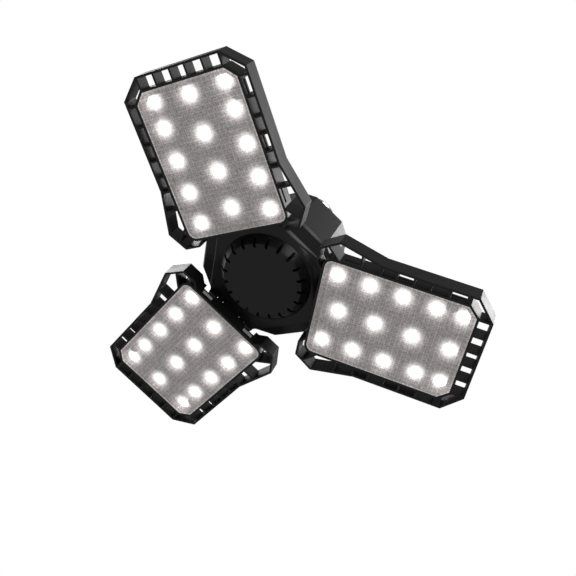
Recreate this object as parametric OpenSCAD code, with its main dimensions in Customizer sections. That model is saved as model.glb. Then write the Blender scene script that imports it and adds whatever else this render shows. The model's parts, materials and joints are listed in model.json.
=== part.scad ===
// Three-panel folding garage light on a screw lamp base.
// Millimetres. +Z is up, towards the lamp socket. The origin is on the axis at the
// shoulder, where the screw shell starts. The light shines down, towards -Z.
// Panel 0 reaches along +X, and the other two follow every 120 degrees.

/* [Panels] */
// Distance from the axis to a panel's outer end
panel_reach = 109.6; // [104:0.2:116]
// Half of a panel's width along its straight sides
panel_half_w = 32.3; // [31.2:0.1:35]
// Depth of a panel's frame, front to back
panel_depth = 8.8; // [8.4:0.1:10]
// Thickness of the frame's thin walls
wall_t = 1.1; // [0.9:0.05:1.3]
// Thickness of the cross ribs in the open border
rib_t = 0.95; // [0.8:0.05:1.4]
// Half of the lens's width
lens_half_w = 26.5; // [26:0.1:27]
// Distance from the axis to the lens's inner edge
lens_start = 29.6; // [29.4:0.1:29.8]
// Distance from the axis to the lens's outer edge
lens_end = 102.2; // [100.5:0.1:102.6]
// Cut across the lens's outer corners
lens_chamfer = 4.9; // [3.5:0.1:5.5]
// Rounding of the lens's inner corners
lens_round = 3.8; // [2.5:0.1:4.5]
// Width of a light-emitting chip
chip_w = 3.5; // [2.6:0.1:3.8]

/* [Hinges] */
// Distance from the axis to a hinge's pin
hinge_x = 31; // [30.9:0.05:31.1]
// Height of the pin behind the lit face
hinge_rise = 5.6; // [5.55:0.05:5.65]
// Radius of the hinge knuckles
knuckle_r = 1.85; // [1.7:0.05:1.9]
// Radius of the hinge pin
pin_r = 1; // [0.9:0.05:1.1]

/* [Hub] */
// Distance from the axis to the hub's three hinge sides
hub_side = 29.9; // [29.5:0.1:30]
// Distance from the axis to the hub's three corner faces
hub_corner = 35.3; // [34.8:0.1:35.9]
// Distance from the axis to the six slanted faces beside the corners
hub_facet = 35; // [34.6:0.1:35.5]
// Distance from the axis to the corner faces of the raised front step
step_corner = 27.6; // [27.2:0.1:28]
// Distance from the axis to the hinge sides of the raised front step
step_side = 27.9; // [27.4:0.1:28]
// Wall thickness of the hub's shells
hub_wall = 2.2; // [1.8:0.1:2.6]
// Radius of the vent cap where it meets the hub
cap_base_r = 23.9; // [23:0.1:25]
// Radius of the vent cap's flat face
cap_face_r = 20.8; // [19.8:0.1:21.6]
// Number of slots round the vent cap
cap_slots = 20; // [12:2:24]

/* [Screw base] */
// Height from the lit face up to the shoulder
drop = 63; // [58:0.5:72]
// Radius over the thread's crests
thread_r = 13.2; // [13.05:0.05:13.25]
// Distance from one thread crest to the next
thread_pitch = 3.63; // [3.6:0.01:3.65]
// Number of thread crests
thread_turns = 5; // [4:1:5]

/* [Hidden] */
$fn = 64;
eps = 0.01;

// Heights, from the front (low) to the back (high)
lit_z = -drop;
frame_front = lit_z - 3.2;
frame_back = frame_front + panel_depth;
lens_front = frame_front + 0.1;
lens_seat = lit_z - 1.5;
board_front = lit_z + 0.6;
board_back = board_front + 1;
sink_back = frame_back - 0.2;
ceiling_back = board_back + 0.8;
plate_t = 0.6;
hinge_z = lit_z + hinge_rise;
cap_face_z = lit_z + 1.6;
step_z = lit_z + 6.05;
foot_z = lit_z + 7.95;
ledge_z = lit_z + 9.45;
cover_back_z = lit_z + 11;
rear_seam_z = lit_z + 34.1;
rear_edge_z = lit_z + 38.2;
roof_top_z = -15;
shell_top_z = 22.4;

// Clearances
loose = 0.1;
pin_play = 0.05;

// Panel layout: x runs outwards from the axis and y across the panel
ear_tip_x = 25.2;
ear_inner_y = 23;
ear_outer_y = 31.2;
ear_wide = [34.4, 37.4];
ear_root_x = 56.2;
notch_half = 19.4;
tip_chamfer = [9, 10.3];
box_wall = 2.1;
pocket_half = 17.6;
pocket_end = 35;
light_wall_x = 31.2;
middle_wall_half = 10.4;
middle_wall_back = hinge_z - 1.7;
end_wall_back = lit_z + 2.2;
plate_y = [11, 16.9];
plate_z = [lit_z - 0.9, lit_z + 1.5];
plate_leaf_x = 34.2;
rib_back = frame_back - 1.3;
flange_w = 1.6;
board_gap = 1.2;
chip_col_y = 18.9;
side_rows = [36.1, 52.1, 68.1, 84.1, 96.7];
middle_rows = [40.65, 58.99, 77.33, 95.64];
tip_rib_y = [3.9, 12.7, 21.5];
side_rib_x = [45.8, 55.4, 62.9, 70.9, 78.7, 87.6, 97.1];
tab_x = [41.3, 66.8, 91.9];
hook_x = [66.8, 91.9];
hook_w = 6.4;
tab_slot_z = [lit_z - 1, lit_z + 0.4];
hook_slot_z = lit_z + 1.7;
ear_rib = [[36.2, 26.8], [28.6, 34.2]];
screw_spots = [[44.1, 22.3], [90.4, 22.3]];
screw_shank_r = 1.2;
screw_hole_r = 1.25;
fin_pitch = 4.2;
fin_t = 1.3;
fin_count = 11;

// Hub layout
step_flare = 1.04;
band_flare = 1;
corner_screw_x = 30.2;
corner_boss_r = 3.4;
cover_boss_r = 2.8;
head_seat_z = rear_edge_z - 1.6;
corner_boss_top = cover_back_z + 6;
board_r = 25;
board_z = [cover_back_z + 4, cover_back_z + 5.6];
board_post_x = 21.5;
neck_bore_r = 8.5;
stub_r = 11.6;
stub_top_z = shell_top_z - 5;
neck_spigot_r = 12.4;
cap_hole_r = 18.3;
spigot_h = 2;
spigot_t = 1.3;
lead_r = 0.8;
capacitor_spots = [[-14.5, 6, 4.5, 15], [-14.5, -6, 4.5, 15], [13.5, -9, 3.6, 11]];

// Thread of the screw shell
thread_depth = 1.05;
thread_low_z = 2.2;
thread_steps = 8;

// Hinges: the panel's knuckles run in gaps of the hub's lobes
knuckle_half = 1.75;
knuckle_mid = 7.5;
hinge_gap = 0.3;
pin_half = 12.6;

// Point where two lines meet, each given by its normal's angle and its distance
function meet(a1, d1, a2, d2) =
    [d1 * sin(a2) - d2 * sin(a1), d2 * cos(a1) - d1 * cos(a2)] / sin(a2 - a1);

// Twelve-sided hub outline: hinge sides at 0, 120 and 240 degrees, corners between
function hub_distance(k, inset) =
    (k % 4 == 0 ? hub_side : k % 4 == 2 ? hub_corner : hub_facet) - inset;
function hub_outline(inset = 0) = [
    for (k = [0 : 11])
        meet(30 * k, hub_distance(k, inset), 30 * (k + 1), hub_distance(k + 1, inset))
];

// Six-sided outline of the raised front step
function step_distance(k, inset) = (k % 2 == 0 ? step_side : step_corner) - inset;
function step_outline(inset = 0) = [
    for (k = [0 : 5])
        meet(60 * k, step_distance(k, inset), 60 * (k + 1), step_distance(k + 1, inset))
];

// Anticlockwise outline moved inwards by w
function edge_angle(p, q) = atan2(q[1] - p[1], q[0] - p[0]) - 90;
function edge_distance(p, a) = p[0] * cos(a) + p[1] * sin(a);
function inset(points, w) = [
    for (i = [0 : len(points) - 1])
        let (
            n = len(points),
            p = points[(i + n - 1) % n],
            q = points[i],
            r = points[(i + 1) % n],
            a = edge_angle(p, q),
            b = edge_angle(q, r)
        )
        meet(a, edge_distance(q, a) - w, b, edge_distance(q, b) - w)
];

// Half outline from the inner end to the tip, mirrored to the whole panel
function both_sides(half) = concat(
    [for (p = half) [p[0], -p[1]]],
    [for (i = [len(half) - 1 : -1 : 0]) half[i]]
);
panel_outline = both_sides([
    [lens_start - wall_t, notch_half],
    [ear_tip_x, ear_inner_y],
    [ear_tip_x, ear_outer_y],
    ear_wide,
    [ear_root_x, panel_half_w],
    [panel_reach - tip_chamfer[0], panel_half_w],
    [panel_reach, panel_half_w - tip_chamfer[1]]
]);

// Lens outline grown or shrunk by g: round inner corners, cut outer corners
function lens_outline(g = 0) = both_sides(concat(
    [
        for (a = [0 : 15 : 90])
            [
                lens_start + lens_round - (lens_round + g) * cos(a),
                lens_half_w - lens_round + (lens_round + g) * sin(a)
            ]
    ],
    [
        [lens_end - lens_chamfer + g * tan(22.5), lens_half_w + g],
        [lens_end + g, lens_half_w - lens_chamfer + g * tan(22.5)]
    ]
));

module slab(points, low, high) {
    translate([0, 0, low])
        linear_extrude(high - low)
            polygon(points);
}

module ring(points, hole, low, high) {
    translate([0, 0, low])
        linear_extrude(high - low)
            difference() {
                polygon(points);
                polygon(hole);
            }
}

// Box between two corners
module block(low, high) {
    translate(low)
        cube(high - low);
}

// The same box on both sides of a panel
module twin_block(low, high) {
    block(low, high);
    block([low[0], -high[1], low[2]], [high[0], -low[1], high[2]]);
}

// Upright cylinder from one height to another
module post(r, low, high) {
    translate([0, 0, low])
        cylinder(r = r, h = high - low);
}

// Bar across the panel, centred on the hinge's axis
module hinge_bar(r, half) {
    translate([hinge_x, half, hinge_z])
        rotate([90, 0, 0])
            cylinder(r = r, h = 2 * half);
}

module at_corners() {
    for (i = [0 : 2])
        rotate([0, 0, 120 * i + 60])
            translate([corner_screw_x, 0, 0])
                children();
}

module at_posts() {
    for (i = [0 : 2])
        rotate([0, 0, 120 * i])
            translate([board_post_x, 0, 0])
                children();
}

// ---------------------------------------------------------------- hub

// Half of a lobe's width at a distance from the axis: its sides follow the step's corner faces
function lobe_half(x) = (step_corner - x / 2) / cos(30);

// Hinge lobe of the front cover, an arm and a barrel with gaps for the panel's knuckles
module hub_lobe() {
    lobe_in = step_side - 1;
    lobe_out = hinge_x + knuckle_r + eps;
    arm_back = ledge_z - hinge_gap;
    gap_half = knuckle_half + hinge_gap;
    difference() {
        intersection() {
            union() {
                hinge_bar(knuckle_r, lobe_half(lobe_in));
                block([lobe_in, -lobe_half(lobe_in), step_z], [hinge_x + 1, lobe_half(lobe_in), arm_back]);
            }
            slab([
                [lobe_in, -lobe_half(lobe_in)], [lobe_out, -lobe_half(lobe_out)],
                [lobe_out, lobe_half(lobe_out)], [lobe_in, lobe_half(lobe_in)]
            ], hinge_z - knuckle_r - 1, arm_back);
        }
        for (side = [-1, 1])
            translate([0, side * knuckle_mid, 0]) {
                hinge_bar(knuckle_r + hinge_gap, gap_half);
                block([hinge_x - hinge_gap, -gap_half, hinge_z - knuckle_r - 1],
                    [lobe_out + 1, gap_half, arm_back + 1]);
            }
    }
}

// Raised step with slanted walls, sloping ledge and slanted band, before the inside is cut
module cover_body() {
    hull() {
        slab(step_outline(), step_z, step_z + eps);
        slab(step_outline(-step_flare), foot_z - eps, foot_z);
    }
    hull() {
        slab(step_outline(-step_flare), foot_z - eps, foot_z);
        slab(hub_outline(band_flare), ledge_z - eps, ledge_z);
    }
    hull() {
        slab(hub_outline(band_flare), ledge_z - eps, ledge_z);
        slab(hub_outline(), cover_back_z - eps, cover_back_z);
    }
}

module front_cover() {
    color([0.07, 0.07, 0.075])
        difference() {
            union() {
                difference() {
                    cover_body();
                    slab(step_outline(hub_wall), step_z + 2, cover_back_z + 1);
                }
                ring(hub_outline(hub_wall + loose), hub_outline(hub_wall + loose + spigot_t),
                    cover_back_z - 0.5, cover_back_z + spigot_h);
                at_corners()
                    post(cover_boss_r, cover_back_z - 0.5, corner_boss_top);
                at_posts()
                    post(2.4, step_z + 1, board_z[0]);
                for (i = [0 : 2])
                    rotate([0, 0, 120 * i])
                        hub_lobe();
            }
            post(cap_hole_r, step_z - 1, step_z + 3);
            at_corners()
                post(screw_hole_r, cover_back_z - 1, corner_boss_top + 1);
            at_posts()
                post(screw_hole_r, step_z + 4, board_z[0] + 1);
            for (i = [0 : 2])
                rotate([0, 0, 120 * i])
                    hinge_bar(pin_r + pin_play, pin_half + 0.4);
        }
}

// Round cap over the driver, with slots across its edge
module vent_cap() {
    cap_t = 1.6;
    slot_w = 1.45;
    slot_in = 18.3;
    slot_out = 23.2;
    slot_depth = 4;
    color([0.06, 0.06, 0.065])
        difference() {
            union() {
                rotate_extrude($fn = 96)
                    polygon([
                        [0, cap_face_z], [cap_face_r - 0.5, cap_face_z],
                        [cap_face_r, cap_face_z + 0.5], [cap_base_r, step_z],
                        [cap_base_r - cap_t, step_z], [cap_face_r - cap_t, cap_face_z + cap_t],
                        [0, cap_face_z + cap_t]
                    ]);
                rotate_extrude($fn = 96)
                    polygon([
                        [cap_hole_r - 1.5, cap_face_z + cap_t - 0.2],
                        [cap_hole_r - loose, cap_face_z + cap_t - 0.2],
                        [cap_hole_r - loose, step_z + 3], [cap_hole_r - 1.5, step_z + 3]
                    ]);
            }
            for (i = [0 : cap_slots - 1])
                rotate([0, 0, (i + 0.5) * 360 / cap_slots]) {
                    block([slot_in + slot_w / 2, -slot_w / 2, cap_face_z - 1],
                        [slot_out - slot_w / 2, slot_w / 2, cap_face_z + slot_depth]);
                    for (x = [slot_in + slot_w / 2, slot_out - slot_w / 2])
                        translate([x, 0, 0])
                            post(slot_w / 2, cap_face_z - 1, cap_face_z + slot_depth);
                }
        }
}

module hub_housing() {
    color([0.09, 0.09, 0.095])
        difference() {
            union() {
                ring(hub_outline(), hub_outline(hub_wall), cover_back_z, rear_seam_z);
                at_corners()
                    post(corner_boss_r, corner_boss_top + 0.2, rear_seam_z - 0.2);
            }
            at_corners()
                post(1.6, cover_back_z - 1, rear_seam_z + 1);
        }
}

// Roof over the hub that narrows to the neck, before its holes are cut
module roof_shell() {
    roof_t = 2;
    roof_r = 18;
    rim = hub_wall + loose + spigot_t;
    difference() {
        union() {
            slab(hub_outline(), rear_seam_z, rear_edge_z);
            hull() {
                slab(hub_outline(1.2), rear_edge_z - eps, rear_edge_z + 0.4);
                post(roof_r, roof_top_z - 0.5, roof_top_z, $fn = 48);
            }
            slab(hub_outline(hub_wall + loose), rear_seam_z - spigot_h, rear_seam_z + eps);
        }
        slab(hub_outline(rim), rear_seam_z - spigot_h - 1, rear_edge_z - roof_t);
        hull() {
            slab(hub_outline(rim + 0.6), rear_edge_z - roof_t - eps, rear_edge_z - roof_t + 0.2);
            post(roof_r - 3, roof_top_z - roof_t - 0.5, roof_top_z - roof_t, $fn = 48);
        }
    }
}

// Rear edge of the hub, its roof and the seats of the housing's screws
module rear_cover() {
    color([0.08, 0.08, 0.085])
        difference() {
            union() {
                roof_shell();
                at_corners()
                    post(corner_boss_r, rear_seam_z, head_seat_z + 0.4);
            }
            at_corners()
                post(1.6, rear_seam_z - 3, roof_top_z);
            at_corners()
                post(3.2, head_seat_z, roof_top_z);
            at_corners()
                post(corner_boss_r + loose, rear_seam_z - 3, rear_seam_z);
            post(neck_spigot_r + pin_play, roof_top_z - 10, roof_top_z + 1);
        }
}

// Neck between the hub and the screw base, with the stub that the shell is crimped on
module neck() {
    color([0.09, 0.09, 0.095])
        rotate_extrude($fn = 96)
            polygon([
                [neck_bore_r, roof_top_z - 4], [neck_spigot_r, roof_top_z - 4],
                [neck_spigot_r, roof_top_z], [17.4, roof_top_z], [16.2, roof_top_z + 3],
                [15.4, -5], [15.4, -1.6], [14.6, -0.4], [14.6, 0], [stub_r, 0],
                [stub_r, stub_top_z], [neck_bore_r, stub_top_z]
            ]);
}

// ---------------------------------------------------------------- screw base

// Radius of the rolled thread at a step along its height
function thread_radius(i) =
    thread_r - thread_depth / 2 - thread_depth / 2 * cos(360 * i / thread_steps);

module screw_shell() {
    shell_t = 0.35;
    crest_z = [for (i = [0 : thread_turns * thread_steps]) thread_low_z + i * thread_pitch / thread_steps];
    color([0.8, 0.8, 0.78])
        rotate_extrude($fn = 96)
            polygon(concat(
                [[stub_r + pin_play, 0], [thread_r + 0.2, 0], [thread_r + 0.2, 0.8], [thread_radius(0), 1.6]],
                [for (i = [0 : thread_turns * thread_steps]) [thread_radius(i), crest_z[i]]],
                [
                    [thread_r - thread_depth, shell_top_z - 1.2], [thread_r - 2.4, shell_top_z],
                    [9.6, shell_top_z], [9.6, shell_top_z - shell_t],
                    [stub_r + pin_play, shell_top_z - 1.6]
                ]
            ));
}

module base_insulator() {
    color([0.05, 0.05, 0.06])
        rotate_extrude($fn = 96)
            polygon([
                [1.4, shell_top_z - 2.4], [9.4, shell_top_z - 2.4], [9.4, shell_top_z + 0.4],
                [6.2, shell_top_z + 2.4], [1.4, shell_top_z + 2.4]
            ]);
}

module centre_contact() {
    contact_z = shell_top_z + 2.4;
    color([0.78, 0.76, 0.7])
        rotate_extrude($fn = 96)
            polygon([
                [0, contact_z], [4.8, contact_z], [4.8, contact_z + 0.5],
                [4, contact_z + 1.3], [0, contact_z + 1.3]
            ]);
}

// ---------------------------------------------------------------- inside the hub

// Pan-head screw that points down from a seat
module screw(seat_z, length, head_r, head_h, shank_r) {
    post(shank_r, seat_z - length, seat_z + eps);
    difference() {
        post(head_r, seat_z, seat_z + head_h);
        for (a = [0, 90])
            rotate([0, 0, a])
                block([-head_r * 0.6, -0.25, seat_z + head_h * 0.5],
                    [head_r * 0.6, 0.25, seat_z + head_h + 1]);
    }
}

module housing_screws() {
    color([0.55, 0.55, 0.57])
        at_corners()
            screw(head_seat_z, head_seat_z - cover_back_z, 2.8, 1.6, screw_shank_r);
}

module driver_board() {
    color([0.12, 0.35, 0.18])
        difference() {
            post(board_r, board_z[0], board_z[1]);
            at_posts()
                post(screw_hole_r, board_z[0] - 1, board_z[1] + 1);
        }
}

module board_screws() {
    color([0.7, 0.7, 0.72])
        at_posts()
            screw(board_z[1], 4.6, 2.1, 1.3, screw_shank_r);
}

module driver_transformer() {
    bobbin_z = board_z[1];
    color([0.75, 0.65, 0.2]) {
        block([-8, -7, bobbin_z], [8, 7, bobbin_z + 1.5]);
        block([-6, -5.5, bobbin_z + 1.5], [6, 5.5, bobbin_z + 11]);
        block([-8, -7, bobbin_z + 11], [8, 7, bobbin_z + 13]);
    }
}

module driver_capacitors() {
    color([0.15, 0.15, 0.2])
        for (c = capacitor_spots)
            translate([c[0], c[1], 0])
                post(c[2], board_z[1], board_z[1] + c[3]);
}

module driver_choke() {
    color([0.6, 0.35, 0.15])
        translate([-1, 14.5, board_z[1]])
            rotate_extrude()
                translate([4, 3.2])
                    circle(r = 2.6, $fn = 32);
}

module driver_connectors() {
    color([0.9, 0.9, 0.86])
        for (a = [60, 180, 300])
            rotate([0, 0, a])
                difference() {
                    block([19, -3, board_z[1]], [23.2, 3, board_z[1] + 4.5]);
                    for (y = [-1.4, 1.4])
                        block([22, y - 0.8, board_z[1] + 1.4], [24, y + 0.8, board_z[1] + 3]);
                }
}

// Live lead up to the centre contact, and neutral lead that turns out to the shell
module base_leads() {
    lead_low_z = board_z[1] + 13;
    turn_z = stub_top_z + 1;
    neutral_x = neck_bore_r - 1;
    color([0.75, 0.1, 0.1])
        post(lead_r, lead_low_z, shell_top_z + 2.4);
    color([0.15, 0.15, 0.17]) {
        translate([-neutral_x, 0, 0])
            post(lead_r, lead_low_z, turn_z);
        translate([-neutral_x, 0, turn_z])
            sphere(r = lead_r);
        translate([-neutral_x, 0, turn_z])
            rotate([0, -90, 0])
                cylinder(r = lead_r, h = stub_r - neutral_x);
    }
}

// ---------------------------------------------------------------- panels

// Cross ribs of the open border
module border_ribs() {
    side_in = lens_half_w + wall_t - 0.3;
    intersection() {
        slab(inset(panel_outline, 0.3), frame_front, frame_back);
        union() {
            for (x = side_rib_x)
                twin_block([x - rib_t / 2, side_in, frame_front], [x + rib_t / 2, ear_wide[1], rib_back]);
            for (y = tip_rib_y)
                twin_block([lens_end + wall_t - 0.3, y - rib_t / 2, frame_front],
                    [panel_reach, y + rib_t / 2, rib_back]);
            for (side = [-1, 1])
                slab(strip([ear_rib[0][0], side * ear_rib[0][1]], [ear_rib[1][0], side * ear_rib[1][1]],
                    rib_t), frame_front, frame_back);
        }
    }
}

// Four corners of a strip of width w between two points
function strip(p, q, w) =
    let (d = q - p, n = [-d[1], d[0]] / norm(d) * w / 2)
    [p - n, q - n, q + n, p + n];

// Walls of the pocket that holds the hinge, behind and beside the end of the light box
module hinge_pocket_walls() {
    box_half = lens_half_w - 0.5;
    pocket_back = pocket_end + wall_t;
    block([light_wall_x, -box_half, lens_seat], [light_wall_x + 1, box_half, ceiling_back]);
    block([light_wall_x, -box_half, board_back], [pocket_back, box_half, ceiling_back]);
    block([pocket_end, -box_half, board_back], [pocket_back, box_half, frame_back]);
    twin_block([lens_start, pocket_half, lens_seat], [light_wall_x + 1, pocket_half + wall_t, frame_back]);
    twin_block([lens_start, pocket_half, board_back], [pocket_back, pocket_half + wall_t, frame_back]);
}

// Room that the hinge needs, with the slots and seats of the hinge plates
module hinge_pocket_room() {
    wall_in = lens_start - wall_t - 1;
    play = 0.1;
    block([wall_in, -middle_wall_half, middle_wall_back],
        [lens_start, middle_wall_half, frame_back + 1]);
    twin_block([wall_in, middle_wall_half - eps, end_wall_back],
        [lens_start + eps, pocket_half, frame_back + 1]);
    block([lens_start, -pocket_half, ceiling_back], [pocket_end, pocket_half, frame_back + 1]);
    twin_block([wall_in, plate_y[0] - play, plate_z[0] - play],
        [lens_start + eps, plate_y[1] + play, plate_z[1] + play]);
    twin_block([lens_start, plate_y[0] - 0.3, plate_z[0] - play],
        [light_wall_x, plate_y[1] + 0.3, ceiling_back + eps]);
}

// One knuckle of the frame, on a rib from the pocket's end
module panel_knuckle() {
    hinge_bar(knuckle_r, knuckle_half);
    block([hinge_x, -knuckle_half, hinge_z - knuckle_r], [pocket_end + 0.5, knuckle_half, hinge_z]);
}

// Slots in the light box's side walls for the tabs and hooks of the cover
module hook_slots() {
    wall_out = lens_half_w + wall_t + 0.1;
    leg_room = [lens_half_w - 1.2, lens_half_w + loose];
    half = hook_w / 2 + 0.3;
    for (x = tab_x) {
        twin_block([x - half, leg_room[0], lens_seat - 1], [x + half, leg_room[1], tab_slot_z[1]]);
        twin_block([x - half, leg_room[0], tab_slot_z[0]], [x + half, wall_out, tab_slot_z[1]]);
    }
    for (x = hook_x) {
        twin_block([x - half, leg_room[0], lens_seat - 1], [x + half, leg_room[1], frame_back + 1]);
        twin_block([x - half, lens_half_w - box_wall, hook_slot_z], [x + half, wall_out, frame_back + 1]);
    }
}

module panel_frame() {
    light_box = lens_outline(-(box_wall - wall_t));
    color([0.06, 0.06, 0.065])
        difference() {
            union() {
                difference() {
                    union() {
                        ring(panel_outline, inset(panel_outline, wall_t), frame_front, frame_back);
                        ring(lens_outline(wall_t), lens_outline(), frame_front, lens_seat + eps);
                        ring(lens_outline(wall_t), light_box, lens_seat, frame_back);
                        ring(lens_outline(-0.8), lens_outline(-flange_w - 1), board_front - 1, board_front);
                        intersection() {
                            slab(lens_outline(-0.8), board_front - 1.8, board_front);
                            for (s = screw_spots, side = [-1, 1])
                                translate([s[0], side * s[1], 0])
                                    post(2.8, board_front - 1.8, board_front);
                        }
                        border_ribs();
                        hinge_pocket_walls();
                    }
                    hinge_pocket_room();
                    hook_slots();
                }
                for (side = [-1, 1])
                    translate([0, side * knuckle_mid, 0])
                        panel_knuckle();
            }
            for (s = screw_spots, side = [-1, 1])
                translate([s[0], side * s[1], 0])
                    post(screw_hole_r, board_front - 1.4, board_front + 1);
            hinge_bar(pin_r, pin_half);
        }
}

// Clear cover with two tabs and four snap hooks
module panel_lens() {
    leg_in = lens_half_w - 0.9;
    leg_out = lens_half_w - loose;
    barb_z = [hook_slot_z + loose, hook_slot_z + 1.1];
    color([0.75, 0.75, 0.77]) {
        slab(lens_outline(-loose), lens_front, lens_seat);
        for (x = tab_x)
            twin_block([x - hook_w / 2, leg_in, lens_seat - eps],
                [x + hook_w / 2, leg_out, tab_slot_z[1] - loose]);
        for (x = hook_x) {
            twin_block([x - hook_w / 2, leg_in, lens_seat - eps], [x + hook_w / 2, leg_out, barb_z[1]]);
            twin_block([x - hook_w / 2, leg_in, barb_z[0]],
                [x + hook_w / 2, lens_half_w + wall_t - 0.2, barb_z[1]]);
        }
    }
}

// Outline of what lies in the light box, with room for the hooks' legs
module board_outline(start) {
    intersection() {
        polygon(lens_outline(-board_gap - 0.1));
        translate([start, -lens_half_w])
            square([lens_end - start, 2 * lens_half_w]);
    }
}

module panel_led_board() {
    color([0.93, 0.93, 0.92])
        translate([0, 0, board_front])
            linear_extrude(board_back - board_front)
                difference() {
                    board_outline(light_wall_x + 1 + loose);
                    for (s = screw_spots, side = [-1, 1])
                        translate([s[0], side * s[1]])
                            circle(r = screw_hole_r);
                }
}

module led_chip() {
    translate([-chip_w / 2, -chip_w / 2, lit_z])
        cube([chip_w, chip_w, board_front - lit_z]);
}

module panel_leds() {
    color([1, 0.95, 0.7]) {
        for (x = side_rows, side = [-1, 1])
            translate([x, side * chip_col_y, 0])
                led_chip();
        for (x = middle_rows)
            translate([x, 0, 0])
                led_chip();
    }
}

// Finned plate behind the board, flat round its screws
module panel_heat_sink() {
    plate_back = board_back + 1.2;
    start = pocket_end + wall_t + loose;
    color([0.1, 0.1, 0.105])
        difference() {
            union() {
                translate([0, 0, board_back])
                    linear_extrude(plate_back - board_back)
                        board_outline(start);
                for (i = [0 : fin_count - 1])
                    let (y = (i - (fin_count - 1) / 2) * fin_pitch)
                        block([start + 2, y - fin_t / 2, plate_back - 0.2],
                            [lens_end - board_gap - 5, y + fin_t / 2, sink_back]);
            }
            for (s = screw_spots, side = [-1, 1])
                translate([s[0], side * s[1], 0]) {
                    post(screw_hole_r, board_back - 1, sink_back);
                    post(3, plate_back, sink_back + 1);
                }
        }
}

module panel_screws() {
    color([0.6, 0.6, 0.62])
        for (s = screw_spots, side = [-1, 1])
            translate([s[0], side * s[1], 0])
                screw(board_back + 1.2, 3.2, 2.2, 1.3, screw_shank_r);
}

// Bent steel plates: a tongue in the inner wall's slot, an upright behind the wall and a leaf
module panel_hinge_plates() {
    upright_x = [lens_start + 0.05, light_wall_x - 0.65];
    color([0.7, 0.7, 0.7]) {
        twin_block([lens_start - 0.9, plate_y[0], plate_z[0]], [upright_x[1], plate_y[1], plate_z[1]]);
        twin_block([upright_x[0], plate_y[0], plate_z[0]],
            [upright_x[1], plate_y[1], ceiling_back + plate_t]);
        twin_block([upright_x[0], plate_y[0], ceiling_back],
            [plate_leaf_x, plate_y[1], ceiling_back + plate_t]);
    }
}

module panel_hinge_pin() {
    color([0.65, 0.65, 0.67])
        hinge_bar(pin_r, pin_half);
}

// A panel's pieces sit at its own angle round the axis
module panel_part(i, part) {
    rotate([0, 0, 120 * i]) {
        if (part == "frame") panel_frame();
        if (part == "lens") panel_lens();
        if (part == "led_board") panel_led_board();
        if (part == "leds") panel_leds();
        if (part == "heat_sink") panel_heat_sink();
        if (part == "screws") panel_screws();
        if (part == "hinge_plates") panel_hinge_plates();
        if (part == "hinge_pin") panel_hinge_pin();
    }
}

front_cover();
vent_cap();
hub_housing();
rear_cover();
neck();
screw_shell();
base_insulator();
centre_contact();
housing_screws();
driver_board();
driver_transformer();
driver_capacitors();
driver_choke();
driver_connectors();
base_leads();
board_screws();
panel_part(0, "frame");  // panel_a_frame
panel_part(0, "lens");  // panel_a_lens
panel_part(0, "led_board");  // panel_a_led_board
panel_part(0, "leds");  // panel_a_leds
panel_part(0, "heat_sink");  // panel_a_heat_sink
panel_part(0, "screws");  // panel_a_screws
panel_part(0, "hinge_plates");  // panel_a_hinge_plates
panel_part(0, "hinge_pin");  // panel_a_hinge_pin
panel_part(1, "frame");  // panel_b_frame
panel_part(1, "lens");  // panel_b_lens
panel_part(1, "led_board");  // panel_b_led_board
panel_part(1, "leds");  // panel_b_leds
panel_part(1, "heat_sink");  // panel_b_heat_sink
panel_part(1, "screws");  // panel_b_screws
panel_part(1, "hinge_plates");  // panel_b_hinge_plates
panel_part(1, "hinge_pin");  // panel_b_hinge_pin
panel_part(2, "frame");  // panel_c_frame
panel_part(2, "lens");  // panel_c_lens
panel_part(2, "led_board");  // panel_c_led_board
panel_part(2, "leds");  // panel_c_leds
panel_part(2, "heat_sink");  // panel_c_heat_sink
panel_part(2, "screws");  // panel_c_screws
panel_part(2, "hinge_plates");  // panel_c_hinge_plates
panel_part(2, "hinge_pin");  // panel_c_hinge_pin
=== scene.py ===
"""Looks of the folding garage light.

Three lit panels on a faceted hub with a round vent cap, a neck and a screw lamp base. The scene is in metres,
in the frame of the CAD part: the origin is at the screw shell's shoulder, +Z points up into the socket, and
the light shines towards -Z. Each new mesh is built in millimetres, and mesh_object scales it.
"""

import json
import math

import bmesh
import bpy
import numpy as np
from mathutils import Matrix, Vector


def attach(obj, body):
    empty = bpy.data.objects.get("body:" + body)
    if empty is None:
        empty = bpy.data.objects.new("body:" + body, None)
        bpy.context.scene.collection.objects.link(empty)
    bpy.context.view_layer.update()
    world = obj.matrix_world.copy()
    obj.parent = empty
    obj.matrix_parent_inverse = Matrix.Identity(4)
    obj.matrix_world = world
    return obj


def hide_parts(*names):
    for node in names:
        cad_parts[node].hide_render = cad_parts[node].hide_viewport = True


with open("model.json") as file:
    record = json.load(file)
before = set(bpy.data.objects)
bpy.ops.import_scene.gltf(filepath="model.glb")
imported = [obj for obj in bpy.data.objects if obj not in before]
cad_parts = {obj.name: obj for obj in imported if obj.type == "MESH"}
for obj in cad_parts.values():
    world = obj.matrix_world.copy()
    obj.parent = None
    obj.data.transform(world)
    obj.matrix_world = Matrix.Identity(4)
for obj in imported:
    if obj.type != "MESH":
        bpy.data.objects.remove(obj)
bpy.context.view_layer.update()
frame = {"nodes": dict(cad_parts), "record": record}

MM = 0.001
PANELS = {"a": 0, "b": 120, "c": 240}

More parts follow.
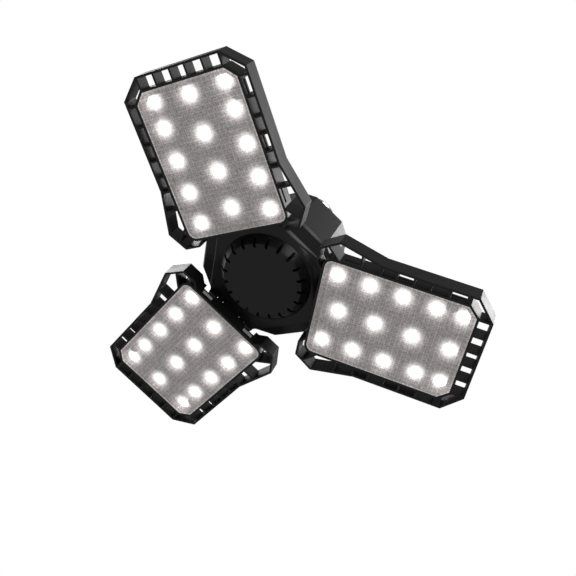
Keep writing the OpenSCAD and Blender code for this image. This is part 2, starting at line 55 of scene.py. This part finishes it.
# Panel layout in millimetres, as in the CAD source: x runs outwards and y across
LIT_Z = -63.0
LENS_START, LENS_END, LENS_HALF = 29.6, 102.2, 26.5
LENS_CHAMFER, LENS_ROUND = 4.9, 3.8
LENS_GAP = 0.1
LENS_FRONT, LENS_SEAT = LIT_Z - 3.1, LIT_Z - 1.5
SIDE_ROWS, CHIP_COL = (36.1, 52.1, 68.1, 84.1, 96.7), 18.9
MIDDLE_ROWS = (40.65, 58.99, 77.33, 95.64)
CHIP_W = 3.5
BOARD_FRONT, BOARD_START = LIT_Z + 0.6, 32.4

# The cover's legs: places along the panel, inner and outer faces, ends, and the hooks' barbs
TAB_X, HOOK_X, LEG_W = (41.3, 66.8, 91.9), (66.8, 91.9), 6.4
LEG_Y, LEG_SINK = (25.6, 26.4), 0.1
TAB_END, TAB_TIP = LIT_Z + 0.3, 0.25
HOOK_END, HOOK_TIP = LIT_Z + 2.8, 0.2
BARB_Y, BARB_Z = 27.4, (LIT_Z + 1.8, LIT_Z + 2.15)

# The cover's net of domes, and its rim, which turns back in steps of (outwards, height above the front)
CELL, DOME_H = 2.36, 0.06
RIM = 0.35
RIM_STEPS = ((RIM * 0.55, 0.06), (RIM * 0.3, 0.18), (RIM * 0.15, 0.4), (0.0, LENS_SEAT - LENS_FRONT))

# Film on the boards
FILM_T, FILM_PLAY, FILM_INSET, FILM_STEP = 0.45, 0.1, 1.5, 0.75

# Painted light that the film and the cover carry as emission: its level, and how far it reaches from a chip
# or from the edge. The cover's light is painted only below a height
FILM_PAINTED_LIGHT, FILM_REACH = 9.5, 3.1
HALO_PAINTED_LIGHT, HALO_REACH = 0.45, 4.3
RIM_PAINTED_LIGHT, RIM_CHIP_PAINTED_LIGHT, RIM_CHIP_REACH, RIM_REACH = 0.04, 0.3, 8.0, 0.5
PAINTED_LIT_BELOW = LENS_SEAT - 0.5

# Screw shell in millimetres: its thread, the (radius, height) of its lower lip and of its rolled top, and the
# mesh's steps around it and along the thread
THREAD_R, THREAD_DEPTH, THREAD_PITCH, THREAD_TURNS = 13.2, 1.05, 3.63, 5
THREAD_LOW, THREAD_FADE = 2.2, 1.6
THREAD_TOP = THREAD_LOW + THREAD_TURNS * THREAD_PITCH
CORE_R, STUB_R, LIP_R, MOUTH_R = THREAD_R - THREAD_DEPTH, 11.65, 13.4, 9.6
SHELL_LIP = ((STUB_R, 0.0), (LIP_R, 0.0), (LIP_R, 0.8), (CORE_R, 1.4))
SHELL_THREAD = (1.6, 20.75)
SHELL_TOP = (
    (CORE_R, 21.2),
    (11.9, 21.6),
    (11.5, 21.95),
    (10.8, 22.3),
    (MOUTH_R, 22.4),
    (MOUTH_R, 22.05),
    (STUB_R, 20.8),
)
AROUND, ALONG = 96, 120

# Camera: where it stands, and its right, up and backward directions
CAMERA_AT = (0.12892875, 0.17395858, -0.36229157)
CAMERA_AXES = (
    (-0.31407877, 0.8879696, 0.33595316),
    (0.87590252, 0.13450314, 0.46336128),
    (0.36626398, 0.43979416, -0.82001939),
)
CAMERA_LENS, CAMERA_SENSOR = 47.1638, 36.0

# Softboxes: the point that they face, then direction from it, distance and width in metres, and watts
LIGHTS_FACE = (0, 0, -0.05)
SOFTBOXES = {
    "rim_softbox": ((-0.46, 0.42, 0.78), 0.9, 0.42, 2.9),
    "fill_softbox": ((-0.12, 0.5, 0.86), 1.0, 0.5, 0.95),
    "back_softbox": ((0.45, -0.64, 0.62), 0.9, 0.34, 2.5),
    "left_softbox": ((0.0, -0.95, 0.25), 1.0, 0.7, 1.5),
    "side_softbox": ((0.43, 0.89, -0.06), 0.9, 0.45, 2.3),
}
# What the world adds to the light, and the floor in millimetres with the glow that the camera sees on it
WORLD_LIGHT = 0.21
FLOOR_Z, FLOOR_HALF, FLOOR_GLOW = -620, 4000, 0.66


def link(obj):
    bpy.context.scene.collection.objects.link(obj)
    return obj


def mesh_object(name, bm):
    """A new object from a bmesh in millimetres."""
    bmesh.ops.scale(bm, vec=(MM, MM, MM), verts=bm.verts)
    mesh = bpy.data.meshes.new(name)
    bm.to_mesh(mesh)
    bm.free()
    return link(bpy.data.objects.new(name, mesh))


# ---------------------------------------------------------------- camera, light and floor


def make_camera():
    data = bpy.data.cameras.new("camera")
    data.lens, data.sensor_width = CAMERA_LENS, CAMERA_SENSOR
    data.clip_start, data.clip_end = 0.01, 20
    cam = link(bpy.data.objects.new("camera", data))
    turn = Matrix(CAMERA_AXES).transposed().to_4x4()
    cam.matrix_world = Matrix.Translation(CAMERA_AT) @ turn
    bpy.context.scene.camera = cam


def area_light(name, direction, distance, size, watts):
    """A square softbox that faces the hub from a direction."""
    data = bpy.data.lights.new(name, "AREA")
    data.shape, data.size, data.energy = "SQUARE", size, watts
    light = link(bpy.data.objects.new(name, data))
    way = Vector(direction).normalized()
    turn = way.to_track_quat("Z", "Y").to_matrix().to_4x4()
    light.matrix_world = Matrix.Translation(way * distance + Vector(LIGHTS_FACE)) @ turn
    light.visible_camera = False


def make_studio():
    for name, (direction, distance, size, watts) in SOFTBOXES.items():
        area_light(name, direction, distance, size, watts)
    world = bpy.data.worlds.new("studio")
    bpy.context.scene.world = world
    world.use_nodes = True
    nodes, links = world.node_tree.nodes, world.node_tree.links
    nodes.clear()
    seen, lit = (nodes.new("ShaderNodeBackground") for _ in range(2))
    for node, strength in ((seen, 1.0), (lit, WORLD_LIGHT)):
        node.inputs["Color"].default_value = (1, 1, 1, 1)
        node.inputs["Strength"].default_value = strength
    path, mix = nodes.new("ShaderNodeLightPath"), nodes.new("ShaderNodeMixShader")
    out = nodes.new("ShaderNodeOutputWorld")
    links.new(path.outputs["Is Camera Ray"], mix.inputs["Fac"])
    links.new(lit.outputs[0], mix.inputs[1])
    links.new(seen.outputs[0], mix.inputs[2])
    links.new(mix.outputs[0], out.inputs["Surface"])


def make_floor():
    bm = bmesh.new()
    bmesh.ops.create_grid(bm, x_segments=8, y_segments=8, size=FLOOR_HALF)
    bmesh.ops.translate(bm, vec=(0, 0, FLOOR_Z), verts=bm.verts)
    floor = mesh_object("floor", bm)
    s = Shade("floor", edge=0)
    s.set(Base_Color=(0.5, 0.5, 0.495, 1), Roughness=0.7, Emission_Color=(1, 1, 0.99, 1))
    path = s.nodes.new("ShaderNodeLightPath")
    s.join(s.math("MULTIPLY", path.outputs["Is Camera Ray"], FLOOR_GLOW), "Emission Strength")
    floor.data.materials.append(s.mat)


# ---------------------------------------------------------------- materials


class Shade:
    """A material's nodes, with short ways to add more. Its edges look rounded by a radius in millimetres."""

    def __init__(self, name, edge=0.22):
        self.mat = bpy.data.materials.new(name)
        self.mat.use_nodes = True
        self.nodes, self.links = self.mat.node_tree.nodes, self.mat.node_tree.links
        self.bsdf = self.nodes["Principled BSDF"]
        self.coords = self.nodes.new("ShaderNodeTexCoord").outputs["Object"]
        if edge:
            bevel = self.nodes.new("ShaderNodeBevel")
            bevel.samples = 6
            bevel.inputs["Radius"].default_value = edge * MM
            self.join(bevel.outputs[0], "Normal")

    def set(self, **values):
        for key, value in values.items():
            self.bsdf.inputs[key.replace("_", " ")].default_value = value

    def join(self, value, name):
        self.links.new(value, self.bsdf.inputs[name])

    def plug(self, value, socket):
        if isinstance(value, (int, float)):
            socket.default_value = value
        else:
            self.links.new(value, socket)

    def math(self, op, a, b=0.0):
        node = self.nodes.new("ShaderNodeMath")
        node.operation = op
        self.plug(a, node.inputs[0])
        self.plug(b, node.inputs[1])
        return node.outputs[0]

    def split(self, vector):
        node = self.nodes.new("ShaderNodeSeparateXYZ")
        self.links.new(vector, node.inputs[0])
        return node.outputs

    def noise(self, scale, detail=3.0, roughness=0.55):
        node = self.nodes.new("ShaderNodeTexNoise")
        node.inputs["Scale"].default_value = scale
        node.inputs["Detail"].default_value = detail
        node.inputs["Roughness"].default_value = roughness
        self.links.new(self.coords, node.inputs["Vector"])
        return node.outputs["Fac"]

    def cells(self, scale):
        """A random level for each small cell."""
        node = self.nodes.new("ShaderNodeTexVoronoi")
        node.inputs["Scale"].default_value = scale
        node.inputs["Randomness"].default_value = 1.0
        self.links.new(self.coords, node.inputs["Vector"])
        return self.split(node.outputs["Color"])[0]

    def net(self, pitch):
        """A square net of round domes, from 0 between them to 1 on top, with a pitch in millimetres."""
        across = self.split(self.coords)
        turn = 2 * math.pi / (pitch * MM)
        waves = [self.math("COSINE", self.math("MULTIPLY", across[i], turn)) for i in (0, 1)]
        return self.math("ADD", self.math("MULTIPLY", self.math("ADD", *waves), 0.25), 0.5)

    def ramp(self, fac, low, high, low_at=0.0, high_at=1.0):
        node = self.nodes.new("ShaderNodeMapRange")
        self.links.new(fac, node.inputs["Value"])
        node.inputs["From Min"].default_value, node.inputs["From Max"].default_value = low_at, high_at
        node.inputs["To Min"].default_value, node.inputs["To Max"].default_value = low, high
        return node.outputs[0]

    def mix(self, fac, first, second):
        node = self.nodes.new("ShaderNodeMix")
        node.data_type = "RGBA"
        self.links.new(fac, node.inputs["Factor"])
        node.inputs["A"].default_value = (*first, 1)
        node.inputs["B"].default_value = (*second, 1)
        return node.outputs["Result"]

    def painted_glow(self):
        """The painted light that a mesh carries at its points."""
        node = self.nodes.new("ShaderNodeAttribute")
        node.attribute_name = "painted_glow"
        return node.outputs["Fac"]

    def bump(self, height, strength, distance):
        node = self.nodes.new("ShaderNodeBump")
        node.inputs["Strength"].default_value = strength
        node.inputs["Distance"].default_value = distance
        self.links.new(height, node.inputs["Height"])
        normal = self.bsdf.inputs["Normal"]
        if normal.is_linked:
            self.links.new(normal.links[0].from_socket, node.inputs["Normal"])
        self.links.new(node.outputs[0], normal)


def grey(v, tint=(1, 1, 1)):
    return tuple(v * t for t in tint)


def black_plastic(name, tone=0.012, rough=0.36, edge=0.22):
    """Satin moulded plastic with a fine spark-eroded grain."""
    s = Shade(name, edge)
    cloud = s.noise(60, 4)
    grain = s.noise(5200, 2)
    s.join(s.mix(cloud, grey(tone * 0.8), grey(tone * 1.3)), "Base Color")
    s.join(s.ramp(cloud, rough - 0.05, rough + 0.06, 0.3, 0.7), "Roughness")
    s.bump(grain, 0.25, 0.00004)
    s.set(IOR=1.48)
    return s.mat


def metal(name, colour, rough, metallic=1.0):
    """Bare, plated or anodised metal with fine scratches."""
    s = Shade(name)
    scratches = s.noise(900, 3)
    cloud = s.noise(140, 3)
    s.join(s.mix(cloud, grey(0.85, colour), colour), "Base Color")
    s.join(s.ramp(scratches, rough - 0.08, rough + 0.12, 0.3, 0.7), "Roughness")
    s.bump(scratches, 0.15, 0.00002)
    s.set(Metallic=metallic)
    return s.mat


def plain(name, colour, rough):
    """A moulded or painted surface with slight mottling."""
    s = Shade(name)
    cloud = s.noise(700, 3)
    s.join(s.mix(cloud, grey(0.8, colour), grey(1.12, colour)), "Base Color")
    s.join(s.ramp(cloud, rough - 0.06, rough + 0.08, 0.3, 0.7), "Roughness")
    s.bump(cloud, 0.15, 0.00003)
    return s.mat


def lens_material():
    """Prismatic clear cover over the lit board, with a square net of fine domes. Its light is painted on as
    emission in the net's pattern, with painted halos over the chips and painted light in its rim.
    """
    s = Shade("lens", edge=0)
    dome, dots = s.net(CELL), s.net(CELL / 2)
    speckle = s.noise(2400, 2, 0.7)
    grain = s.math("ADD", s.ramp(s.cells(1900), -0.36, 0.36), s.ramp(speckle, -0.1, 0.1, 0.35, 0.65))
    net = s.math("ADD", s.ramp(dome, -0.16, 0.16), s.ramp(dots, -0.2, 0.24))
    # Painted light: even emission over the cover in the net's pattern, raised where the mesh carries painted
    # halos and rim light
    base = s.math("ADD", s.math("ADD", net, grain), 1.06)
    level = s.math("ADD", s.math("MULTIPLY", s.painted_glow(), 1.8), 0.25)
    s.join(s.math("MULTIPLY", base, level), "Emission Strength")
    s.join(s.math("SUBTRACT", 0.54, s.ramp(s.cells(1100), -0.1, 0.1)), "Alpha")
    s.set(Emission_Color=(1.0, 0.93, 0.915, 1), Base_Color=(0.03, 0.03, 0.03, 1), IOR=1.45)
    s.join(s.ramp(speckle, 0.25, 0.45, 0.3, 0.7), "Roughness")
    s.bump(dome, 0.5, 0.00012)
    s.mat.cycles.emission_sampling = "NONE"
    return s.mat


def film_material():
    """Film round the chips, with the chips' light painted on it as emission."""
    s = Shade("film_with_painted_glow", edge=0)
    cloud = s.noise(1200, 2)
    # Painted light: emission round every chip on the film
    s.join(s.math("MULTIPLY", s.painted_glow(), s.ramp(cloud, 0.9, 1.1, 0.35, 0.65)), "Emission Strength")
    s.join(s.mix(cloud, grey(0.04), grey(0.06)), "Base Color")
    s.set(Emission_Color=(1.0, 0.97, 0.955, 1), Roughness=0.6, Specular_IOR_Level=0.2)
    s.mat.cycles.emission_sampling = "NONE"
    return s.mat


def led_material():
    """Phosphor of a lit chip."""
    s = Shade("led")
    cloud = s.noise(3000, 2)
    s.join(s.mix(cloud, (0.9, 0.78, 0.3), (0.95, 0.86, 0.4)), "Base Color")
    s.join(s.ramp(cloud, 9.0, 11.0, 0.35, 0.65), "Emission Strength")
    s.set(Emission_Color=(1.0, 0.97, 0.95, 1), Roughness=0.4)
    return s.mat


def make_materials():
    return {
        "black_shell": black_plastic("black_shell"),
        "black_frame": black_plastic("black_frame", 0.010, 0.34, edge=0.32),
        "lens": lens_material(),
        "led_board": plain("led_board", (0.8, 0.8, 0.79), 0.35),
        "led": led_material(),
        "heat_sink": metal("heat_sink", (0.06, 0.06, 0.065), 0.42),
        "hinge_plate": metal("hinge_plate", (0.8, 0.8, 0.79), 0.5, metallic=0.3),
        "steel": metal("steel", (0.55, 0.55, 0.56), 0.3),
        "base_shell": metal("base_shell", (0.86, 0.86, 0.85), 0.22),
        "base_glass": plain("base_glass", (0.02, 0.018, 0.03), 0.12),
        "base_contact": metal("base_contact", (0.75, 0.72, 0.66), 0.3),
        "circuit_board": plain("circuit_board", (0.03, 0.16, 0.06), 0.35),
        "transformer": plain("transformer", (0.7, 0.5, 0.06), 0.4),
        "capacitor": plain("capacitor", (0.03, 0.03, 0.06), 0.3),
        "choke": metal("choke", (0.6, 0.25, 0.08), 0.35),
        "connector": plain("connector", (0.85, 0.85, 0.8), 0.45),
        "lead": plain("lead", (0.4, 0.03, 0.03), 0.45),
    }


# ---------------------------------------------------------------- CAD nodes that stay


def smooth_by_angle(degrees):
    """Geometry nodes that shade a mesh smooth except over edges sharper than an angle."""
    tree = bpy.data.node_groups.new("smooth_by_angle", "GeometryNodeTree")
    tree.interface.new_socket("Mesh", in_out="INPUT", socket_type="NodeSocketGeometry")
    tree.interface.new_socket("Mesh", in_out="OUTPUT", socket_type="NodeSocketGeometry")
    start, end = tree.nodes.new("NodeGroupInput"), tree.nodes.new("NodeGroupOutput")
    faces, edges = (tree.nodes.new("GeometryNodeSetShadeSmooth") for _ in range(2))
    faces.domain, edges.domain = "FACE", "EDGE"
    angle, blunt = tree.nodes.new("GeometryNodeInputMeshEdgeAngle"), tree.nodes.new("FunctionNodeCompare")
    blunt.data_type, blunt.operation = "FLOAT", "LESS_THAN"
    blunt.inputs["B"].default_value = math.radians(degrees)
    tree.links.new(start.outputs[0], faces.inputs["Geometry"])
    tree.links.new(faces.outputs[0], edges.inputs["Geometry"])
    tree.links.new(angle.outputs["Unsigned Angle"], blunt.inputs["A"])
    tree.links.new(blunt.outputs[0], edges.inputs["Shade Smooth"])
    tree.links.new(edges.outputs[0], end.inputs[0])
    return tree


def finish_surface(obj, smoothing):
    """Joins the faces of a CAD node and shades its curves smooth; the material rounds its edges."""
    weld = obj.modifiers.new("weld", "WELD")
    weld.merge_threshold = 1e-6
    smooth = obj.modifiers.new("smooth", "NODES")
    smooth.node_group = smoothing
    shade = obj.modifiers.new("shade", "WEIGHTED_NORMAL")
    shade.mode, shade.weight, shade.keep_sharp = "FACE_AREA", 50, True


# ---------------------------------------------------------------- pieces on the panels


def sides(ring):
    """Each side of an anticlockwise ring of (x, y) corners: its start, and its outward direction."""
    for (ax, ay), (bx, by) in zip(ring, ring[1:] + ring[:1]):
        yield Vector((ax, ay, 0)), Vector((by - ay, ax - bx, 0)).normalized()


def lens_outline(grow):
    """Corners of the lens, anticlockwise: round inner corners, cut outer corners."""
    half = [
        (
            LENS_START + LENS_ROUND - (LENS_ROUND + grow) * math.cos(math.radians(a)),
            LENS_HALF - LENS_ROUND + (LENS_ROUND + grow) * math.sin(math.radians(a)),
        )
        for a in range(0, 91, 15)
    ]
    cut = grow * math.tan(math.radians(22.5))
    half += [
        (LENS_END - LENS_CHAMFER + cut, LENS_HALF + grow),
        (LENS_END + grow, LENS_HALF - LENS_CHAMFER + cut),
    ]
    return [(x, -y) for x, y in half] + [(x, y) for x, y in reversed(half)]


def chip_places():
    return [(x, y) for x in SIDE_ROWS for y in (-CHIP_COL, CHIP_COL)] + [(x, 0.0) for x in MIDDLE_ROWS]


def near_chips(points, reach):
    """A level that falls off round every chip."""
    d2 = ((points[:, None, :2] - np.array(chip_places())[None]) ** 2).sum(-1)
    return np.exp(-d2 / reach**2).sum(-1)


# Painted light on the film, falling off round every chip
def film_painted_glow(points):
    return FILM_PAINTED_LIGHT * near_chips(points, FILM_REACH)


def lens_painted_glow(points):
    """A painted halo over every chip, and painted light that gathers in the rim."""
    depths = [(points - np.array(start)) @ np.array(out) for start, out in sides(lens_outline(0))]
    rim = np.exp(-((np.max(depths, axis=0) / RIM_REACH) ** 2))
    rim *= RIM_PAINTED_LIGHT + RIM_CHIP_PAINTED_LIGHT * near_chips(points, RIM_CHIP_REACH)
    halo = HALO_PAINTED_LIGHT * near_chips(points, HALO_REACH)
    return np.where(points[:, 2] < PAINTED_LIT_BELOW, halo + rim, 0.0)


def flat_grid(x_range, y_range, step, z):
    bm = bmesh.new()
    cols = math.ceil((x_range[1] - x_range[0]) / step)
    rows = math.ceil((y_range[1] - y_range[0]) / step)
    grid = [
        [bm.verts.new((x_range[0] + i * step, y_range[0] + j * step, z)) for j in range(rows + 1)]
        for i in range(cols + 1)
    ]
    for i in range(cols):
        for j in range(rows):
            bm.faces.new((grid[i][j], grid[i][j + 1], grid[i + 1][j + 1], grid[i + 1][j]))
    return bm


def cut_to(bm, ring):
    """Keeps what lies inside a convex ring of (x, y) corners."""
    for start, out in sides(ring):
        geom = bm.verts[:] + bm.edges[:] + bm.faces[:]
        bmesh.ops.bisect_plane(bm, geom=geom, dist=1e-5, plane_co=start, plane_no=out, clear_outer=True)


def place_on_panels(name, bm, material, painted_glow, node=None, smooth=False):
    """The same mesh on the three panels, with the painted light that it carries at its points."""
    source = mesh_object(name, bm)
    mesh = source.data
    bpy.data.objects.remove(source)
    points = np.array([v.co for v in mesh.vertices]) / MM
    mesh.attributes.new("painted_glow", "FLOAT", "POINT").data.foreach_set("value", painted_glow(points).astype(np.float32))
    mesh.materials.append(material)
    mesh.polygons.foreach_set("use_smooth", [smooth] * len(mesh.polygons))
    for key, turn in PANELS.items():
        piece = link(bpy.data.objects.new(f"{name}_{key}", mesh.copy()))
        piece.rotation_euler = (0, 0, math.radians(turn))
        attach(piece, f"panel_{key}")
        if node:
            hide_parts(f"panel_{key}_{node}")


def make_films():
    """A film on each board, with an opening for every chip."""
    front = BOARD_FRONT - FILM_T
    bm = flat_grid((BOARD_START, LENS_END), (-LENS_HALF, LENS_HALF), FILM_STEP, front)
    cut_to(bm, lens_outline(-FILM_INSET))
    half, around = CHIP_W / 2 + FILM_PLAY, 4
    across, along = (1, 0, 0), (0, 1, 0)

    def faces_within(x, y, reach):
        centred = ((f, f.calc_center_median()) for f in bm.faces)
        return [f for f, c in centred if abs(c.x - x) < reach and abs(c.y - y) < reach]

    for x, y in chip_places():
        for edge, way in ((x - half, across), (x + half, across), (y - half, along), (y + half, along)):
            near = faces_within(x, y, around)
            geom = near + list(dict.fromkeys(g for f in near for g in (*f.verts, *f.edges)))
            bmesh.ops.bisect_plane(bm, geom=geom, dist=1e-5, plane_co=Vector(way) * edge, plane_no=way)
        bmesh.ops.delete(bm, geom=faces_within(x, y, half), context="FACES")
    bmesh.ops.solidify(bm, geom=bm.faces[:], thickness=FILM_T)
    low = min(v.co.z for v in bm.verts)
    bmesh.ops.translate(bm, vec=(0, 0, front - low), verts=bm.verts)
    bmesh.ops.recalc_face_normals(bm, faces=bm.faces)
    place_on_panels("film_with_painted_glow", bm, film_material(), film_painted_glow)


def outward(point):
    """Outward direction of the lens's outline at a point near it, blended over its corners."""
    blend = 0.25
    total = Vector((0, 0, 0))
    for start, out in sides(lens_outline(0)):
        total += out * math.exp(-(((point - start).dot(out) / blend) ** 2))
    return total.normalized() if total.length > 1e-6 else Vector((1, 0, 0))


def clip_leg(bm, x, side, hooked):
    """A leg of the cover in the light box's wall, with a sloping barb if it is a hook."""
    inner, outer = LEG_Y
    profile = [(inner, LENS_SEAT - LEG_SINK), (outer, LENS_SEAT - LEG_SINK)]
    if hooked:
        profile += [(outer, BARB_Z[0]), (BARB_Y, BARB_Z[0]), (BARB_Y, BARB_Z[1])]
        profile += [(outer - HOOK_TIP, HOOK_END), (inner, HOOK_END)]
    else:
        profile += [(outer, TAB_END - TAB_TIP), (outer - TAB_TIP, TAB_END), (inner, TAB_END)]
    ends = [[bm.verts.new((x + dx * LEG_W / 2, side * y, z)) for y, z in profile] for dx in (-1, 1)]
    faces = [bm.faces.new(ends[0]), bm.faces.new(reversed(ends[1]))]
    for i in range(len(profile)):
        j = (i + 1) % len(profile)
        faces.append(bm.faces.new((ends[0][j], ends[0][i], ends[1][i], ends[1][j])))
    bmesh.ops.recalc_face_normals(bm, faces=faces)


def lens_mesh():
    """The cover's front as a fine net cut to its outline, with low domes, a rounded edge, tabs and hooks."""
    step = CELL / 4
    half = step * (math.ceil(2 * LENS_HALF / step) + 1) / 2
    bm = flat_grid((LENS_START - step, LENS_END + step), (-half, half), step, LENS_FRONT)
    cut_to(bm, lens_outline(-LENS_GAP - RIM))
    for v in bm.verts:
        if not v.is_boundary:
            wave = math.cos(2 * math.pi * v.co.x / CELL) + math.cos(2 * math.pi * v.co.y / CELL)
            v.co.z = LENS_FRONT + DOME_H * (2 - wave) / 2
    loop = [e for e in bm.edges if e.is_boundary]
    for out_by, rise in RIM_STEPS:
        made = bmesh.ops.extrude_edge_only(bm, edges=loop)["geom"]
        loop = [g for g in made if isinstance(g, bmesh.types.BMEdge) and g.is_boundary]
        for v in made:
            if isinstance(v, bmesh.types.BMVert):
                v.co += outward(Vector((v.co.x, v.co.y, 0))) * out_by
                v.co.z = LENS_FRONT + rise
    bmesh.ops.contextual_create(bm, geom=loop)
    bmesh.ops.recalc_face_normals(bm, faces=bm.faces)
    for side in (-1, 1):
        for x in TAB_X:
            clip_leg(bm, x, side, x in HOOK_X)
    return bm


# ---------------------------------------------------------------- lamp base


def make_screw_shell(material):
    """The rolled shell with its thread as a real right-hand helix."""
    bm = bmesh.new()
    angles = [2 * math.pi * i / AROUND for i in range(AROUND)]

    def thread(angle, z):
        """Radius of the helix, which fades in and out at its ends."""
        inside = min(z - THREAD_LOW, THREAD_TOP - z)
        fade = min(1.0, max(0.0, inside / THREAD_FADE + 0.5))
        wave = 0.5 - 0.5 * math.cos(2 * math.pi * (z - THREAD_LOW) / THREAD_PITCH - angle)
        return CORE_R + THREAD_DEPTH * wave * fade

    def ring(radii, z):
        return [bm.verts.new((r * math.cos(a), r * math.sin(a), z)) for a, r in zip(angles, radii)]

    low, high = SHELL_THREAD
    heights = [low + (high - low) * k / ALONG for k in range(ALONG + 1)]
    rings = [ring([r] * AROUND, z) for r, z in SHELL_LIP]
    rings += [ring([thread(a, z) for a in angles], z) for z in heights]
    rings += [ring([r] * AROUND, z) for r, z in SHELL_TOP]
    for lower, upper in zip(rings, rings[1:] + rings[:1]):
        for i in range(AROUND):
            j = (i + 1) % AROUND
            bm.faces.new((lower[i], lower[j], upper[j], upper[i]))
    bmesh.ops.recalc_face_normals(bm, faces=bm.faces)
    for f in bm.faces:
        f.smooth = True
    shell = mesh_object("screw_shell_threaded", bm)
    shell.data.set_sharp_from_angle(angle=math.radians(50))
    shell.data.materials.append(material)
    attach(shell, "hub")
    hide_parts("screw_shell")


# ---------------------------------------------------------------- scene


def main():
    bpy.context.scene.view_settings.view_transform = "Standard"
    make_camera()
    make_studio()
    make_floor()
    materials = make_materials()
    smoothing = smooth_by_angle(28)
    slots = {s["node"]: s["material_slot"] for s in frame["record"]["subparts"]}
    for name, obj in frame["nodes"].items():
        obj.data.materials.clear()
        obj.data.materials.append(materials[slots[name]])
        finish_surface(obj, smoothing)
    make_films()
    place_on_panels("lens", lens_mesh(), materials["lens"], lens_painted_glow, node="lens", smooth=True)
    make_screw_shell(materials["base_shell"])


main()
